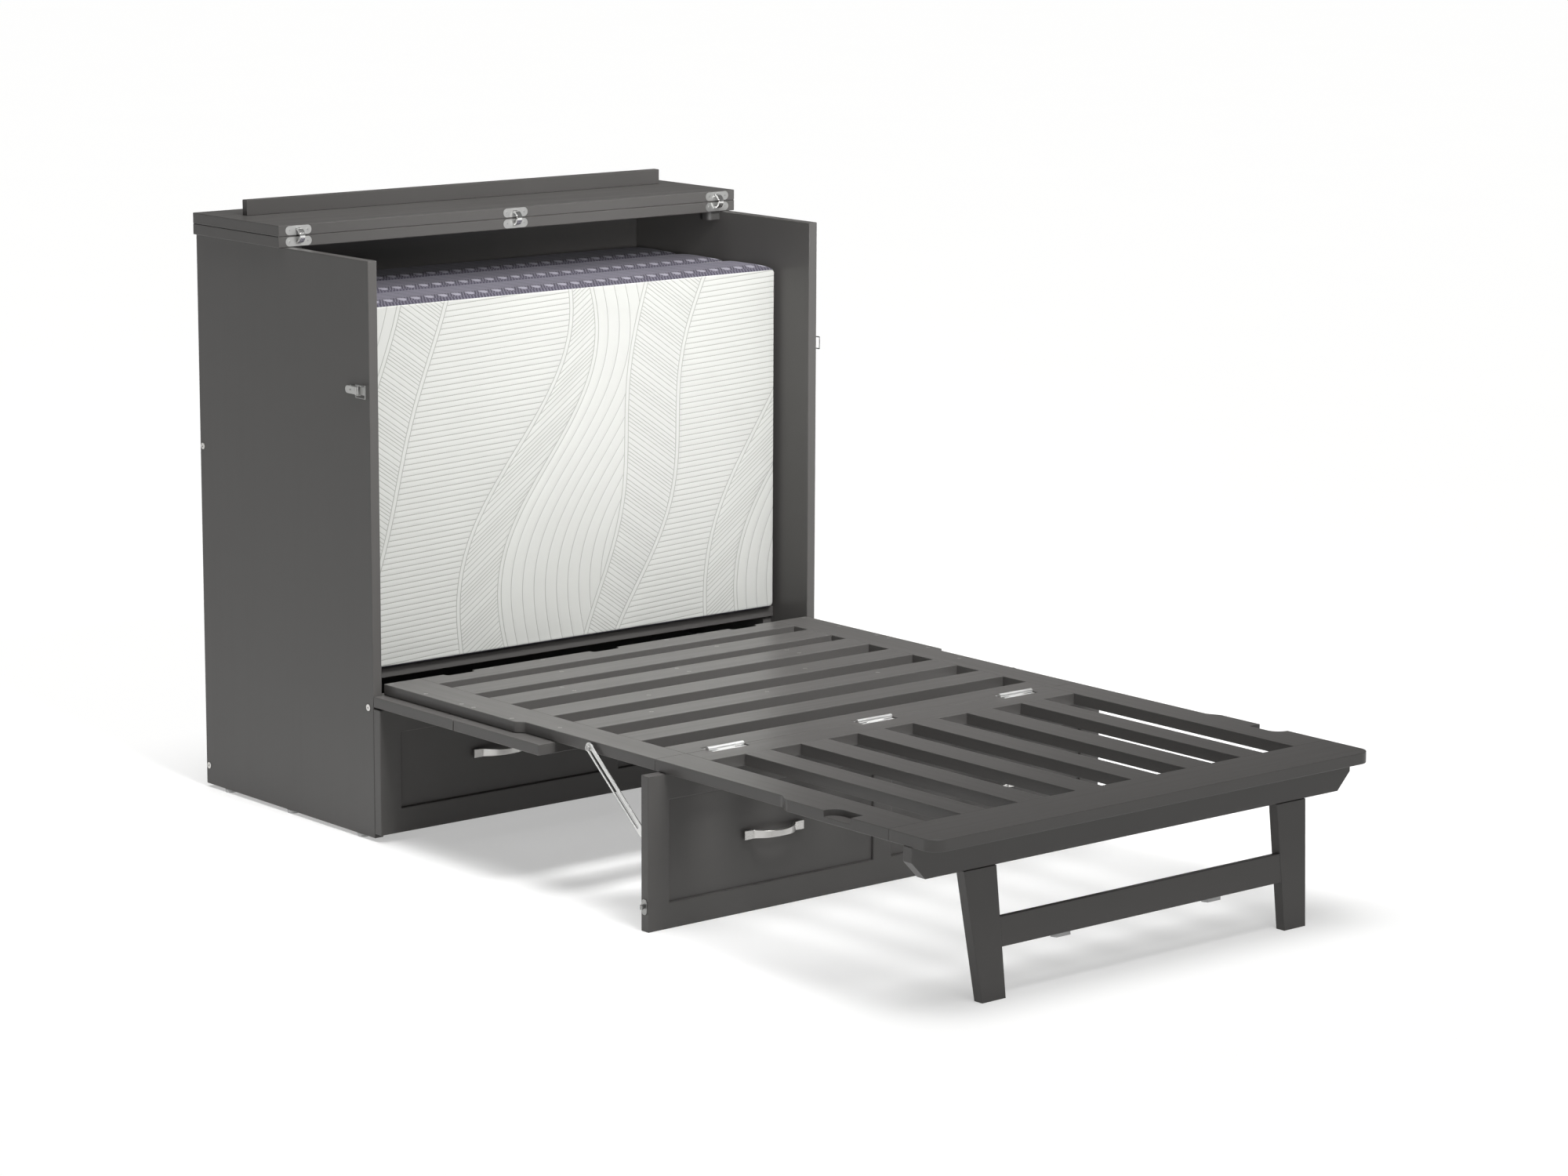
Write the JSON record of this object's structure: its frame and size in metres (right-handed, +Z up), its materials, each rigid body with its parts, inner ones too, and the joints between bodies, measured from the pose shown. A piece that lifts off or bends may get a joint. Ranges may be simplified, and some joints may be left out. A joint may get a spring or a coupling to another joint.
{
  "type": "cabinet bed",
  "caption": "Low wooden cabinet with a folding slatted bed deck, a front panel that becomes a leg, a folding top and an upright folded mattress.",
  "frame": {"origin": "centre of the footprint of the unfolded bed, on the floor", "axes": "+Z up, +Y from the foot of the bed towards the cabinet's back, +X across the cabinet"},
  "size_m": [1.0908, 2.088, 1.151],
  "materials": {
    "painted_wood": "satin paint",
    "steel_hardware": "satin nickel",
    "grey_plastic": "moulded",
    "mattress_cover": "knitted cover over foam"
  },
  "bodies": {
    "cabinet": {"side_panel_left": "painted_wood", "side_panel_right": "painted_wood", "back_panel": "painted_wood", "back_rails": "painted_wood", "hinge_rail": "painted_wood", "mattress_shelf": "painted_wood", "shelf_cleats": "painted_wood", "drawer_runners_fixed": "steel_hardware", "floor_glides": "grey_plastic", "cabinet_bolts": "steel_hardware", "top_corner_blocks": "grey_plastic", "rear_top_board": "painted_wood", "lid_hinge_plates_rear": "steel_hardware", "deck_hinge_leaves_fixed": "steel_hardware", "latch_bases": "steel_hardware"},
    "drawer": {"drawer_front": "painted_wood", "drawer_sides": "painted_wood", "drawer_back": "painted_wood", "drawer_bottom": "painted_wood", "drawer_pulls": "steel_hardware", "drawer_runners_moving": "steel_hardware"},
    "lid": {"lid_board": "painted_wood", "lid_stop_strip": "painted_wood", "lid_hinge_plates_front": "steel_hardware"},
    "lid_links": {"lid_hinge_links": "steel_hardware"},
    "latch_lever_left": {"latch_lever_left": "steel_hardware"},
    "latch_lever_right": {"latch_lever_right": "steel_hardware"},
    "latch_bail_left": {"latch_bail_left": "steel_hardware"},
    "latch_bail_right": {"latch_bail_right": "steel_hardware"},
    "deck": {"deck_side_rails": "painted_wood", "deck_rear_rail": "painted_wood", "deck_front_rail": "painted_wood", "deck_slats": "painted_wood", "deck_screws": "steel_hardware", "deck_hinge_leaves_moving": "steel_hardware", "false_front_2": "painted_wood", "false_front_3": "painted_wood", "fold_hinge_leaves_deck": "steel_hardware", "support_hinge_leaves_deck": "steel_hardware", "stay_ferrules": "steel_hardware"},
    "foot_section": {"foot_side_rails": "painted_wood", "foot_head_rail": "painted_wood", "foot_end_rail": "painted_wood", "foot_slats": "painted_wood", "foot_apron": "painted_wood", "fold_hinge_leaves_foot": "steel_hardware", "leg_hinge_brackets": "steel_hardware"},
    "support_leg": {"support_panel": "painted_wood", "support_pulls": "steel_hardware", "strike_hooks": "steel_hardware", "support_hinge_leaves_panel": "steel_hardware", "stay_brackets": "steel_hardware"},
    "stay_screws": {"stay_guide_screws": "steel_hardware"},
    "stays": {"stay_arms": "steel_hardware"},
    "leg_frame": {"leg_left": "painted_wood", "leg_right": "painted_wood", "leg_stretcher": "painted_wood", "leg_hinge_straps": "steel_hardware", "leg_bumpers": "grey_plastic"},
    "mattress": {"mattress_layers": "mattress_cover"}
  },
  "joints": [
    {"name": "lid_fold", "type": "hinge", "parent": "cabinet", "child": "lid", "pos_m": [0, 0.744, 1.1007], "axis": [1, 0, 0], "range_deg": [0, 180]},
    {"name": "lid_link_turn", "type": "hinge", "parent": "cabinet", "child": "lid_links", "pos_m": [0, 0.744, 1.1007], "axis": [1, 0, 0], "range_deg": [0, 90]},
    {"name": "deck_tilt", "type": "hinge", "parent": "cabinet", "child": "deck", "pos_m": [0, 0.474, 0.276], "axis": [-1, 0, 0], "range_deg": [0, 90]},
    {"name": "foot_fold", "type": "hinge", "parent": "deck", "child": "foot_section", "pos_m": [0, -0.3155, 0.2964], "axis": [-1, 0, 0], "range_deg": [0, 180]},
    {"name": "support_leg_fold", "type": "hinge", "parent": "deck", "child": "support_leg", "pos_m": [0, -0.322, 0.275], "axis": [1, 0, 0], "range_deg": [0, 90]},
    {"name": "stay_screw_turn", "type": "hinge", "parent": "deck", "child": "stay_screws", "pos_m": [0, -0.1375, 0.2845], "axis": [-1, 0, 0], "range_deg": [0, 40.04]},
    {"name": "stay_slide", "type": "slide", "parent": "stay_screws", "child": "stays", "axis": [0, 0.7689, 0.6393], "range_m": [0, 0.1795]},
    {"name": "leg_frame_fold", "type": "hinge", "parent": "foot_section", "child": "leg_frame", "pos_m": [0, -0.961, 0.262], "axis": [1, 0, 0], "range_deg": [0, 97]},
    {"name": "drawer_slide", "type": "slide", "parent": "cabinet", "child": "drawer", "axis": [0, 1, 0], "range_m": [-0.4, 0]},
    {"name": "mattress_slide", "type": "slide", "parent": "cabinet", "child": "mattress", "axis": [0, 1, 0], "range_m": [-0.65, 0.0105]},
    {"name": "latch_left_throw", "type": "hinge", "parent": "cabinet", "child": "latch_lever_left", "pos_m": [-0.5385, 0.505, 0.841], "axis": [0, 0, 1], "range_deg": [0, 90]},
    {"name": "latch_bail_left_swing", "type": "hinge", "parent": "latch_lever_left", "child": "latch_bail_left", "pos_m": [-0.5427, 0.5042, 0.841], "axis": [0, 0, 1], "range_deg": [-90, 0]},
    {"name": "latch_right_throw", "type": "hinge", "parent": "cabinet", "child": "latch_lever_right", "pos_m": [0.5385, 0.505, 0.841], "axis": [0, 0, -1], "range_deg": [0, 90]},
    {"name": "latch_bail_right_swing", "type": "hinge", "parent": "latch_lever_right", "child": "latch_bail_right", "pos_m": [0.5427, 0.5042, 0.841], "axis": [0, 0, -1], "range_deg": [-90, 0]}
  ],
  "couplings": [
    {"joint": "lid_link_turn", "follows": "lid_fold", "ratio": 0.5},
    {"joint": "stay_screw_turn", "follows": "support_leg_fold", "ratio": 0.44156},
    {"joint": "stay_slide", "follows": "support_leg_fold", "m_per_rad": 0.11401},
    {"joint": "latch_bail_left_swing", "follows": "latch_left_throw", "ratio": -1},
    {"joint": "latch_bail_right_swing", "follows": "latch_right_throw", "ratio": -1}
  ]
}
